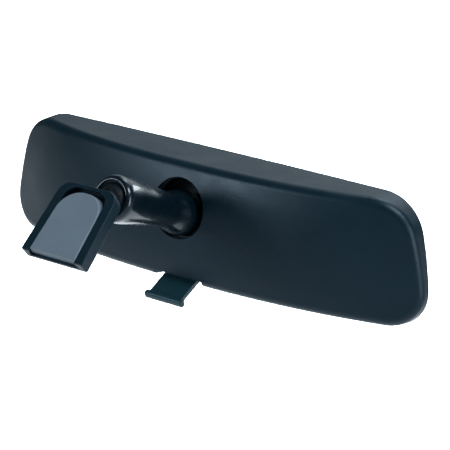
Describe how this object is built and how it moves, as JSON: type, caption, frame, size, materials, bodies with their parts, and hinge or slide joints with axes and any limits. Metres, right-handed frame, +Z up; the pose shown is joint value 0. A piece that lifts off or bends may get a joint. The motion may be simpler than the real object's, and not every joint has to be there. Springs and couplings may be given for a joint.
{
  "type": "interior rearview mirror",
  "caption": "Prismatic interior rearview mirror with a grained case, a two-ball arm, a slide-on windscreen button mount and a day/night lever.",
  "frame": {"origin": "centre of the windscreen button's bonded face", "axes": "+Z up, the glass faces -Y into the cabin, +Y towards the windscreen, X along the mirror"},
  "size_m": [0.2618, 0.1353, 0.0755],
  "materials": {
    "button_metal": "sintered steel, dull grey",
    "black_casting": "satin black powder coat on a zinc casting",
    "dark_steel": "black oxide",
    "ball_steel": "phosphated steel",
    "nylon": "black nylon",
    "black_tube": "gloss black enamel",
    "nylon_dark": "black nylon",
    "spring_steel": "bright spring steel",
    "inner_plastic": "glass-filled nylon",
    "case_plastic": "fine pebble grain, semi-matte",
    "clear_glass": "polished",
    "silver_film": "silvered",
    "foam": "closed-cell foam",
    "lever_plastic": "moulded, slightly glossy"
  },
  "bodies": {
    "mount": {"mount_foot": "black_casting", "windscreen_button": "button_metal", "foot_set_screw": "dark_steel", "foot_ball_stud": "ball_steel"},
    "foot_liner": {"foot_ball_liner": "nylon"},
    "arm": {"arm_tube": "black_tube", "foot_seat_ring": "dark_steel", "foot_ball_cup": "nylon_dark", "arm_spring": "spring_steel"},
    "mirror_socket": {"mirror_seat_ring": "dark_steel", "mirror_ball_cup": "nylon_dark"},
    "mirror_liner": {"mirror_ball_liner": "nylon"},
    "bracket": {"pivot_bracket": "inner_plastic", "mirror_ball_stud": "ball_steel", "stud_push_nut": "spring_steel"},
    "case": {"rear_shell": "case_plastic", "bezel": "case_plastic", "mirror_glass": "clear_glass", "silver_backing": "silver_film", "glass_cushions": "foam", "case_hinge_pin": "spring_steel", "lever_pin": "spring_steel", "detent_spring": "spring_steel", "detent_screw": "dark_steel"},
    "lever": {"day_night_lever": "lever_plastic"}
  },
  "joints": [
    {"name": "foot_swivel", "type": "hinge", "parent": "mount", "child": "foot_liner", "pos_m": [0, -0.0365, 0.0054], "axis": [0, 0, 1], "range_deg": [-16, 16]},
    {"name": "foot_tilt", "type": "hinge", "parent": "foot_liner", "child": "arm", "pos_m": [0, -0.0365, 0.0054], "axis": [1, 0, 0], "range_deg": [-24, 10]},
    {"name": "mirror_roll", "type": "hinge", "parent": "arm", "child": "mirror_socket", "pos_m": [0, -0.08904, -0.01086], "axis": [0, -0.9553, -0.2957], "range_deg": [-10, 10]},
    {"name": "mirror_tilt", "type": "hinge", "parent": "mirror_socket", "child": "mirror_liner", "pos_m": [0, -0.08904, -0.01086], "axis": [1, 0, 0], "range_deg": [-10, 20]},
    {"name": "mirror_swivel", "type": "hinge", "parent": "mirror_liner", "child": "bracket", "pos_m": [0, -0.08904, -0.01086], "axis": [0, 0, 1], "range_deg": [-16, 16]},
    {"name": "case_tilt", "type": "hinge", "parent": "bracket", "child": "case", "pos_m": [0, -0.10684, 0.00984], "axis": [-1, 0, 0], "range_deg": [0, 4.5]},
    {"name": "lever_flip", "type": "hinge", "parent": "case", "child": "lever", "pos_m": [0, -0.10384, -0.04196], "axis": [-1, 0, 0], "range_deg": [0, 60.01]}
  ],
  "couplings": [
    {"joint": "lever_flip", "follows": "case_tilt", "ratio": 13.333}
  ]
}
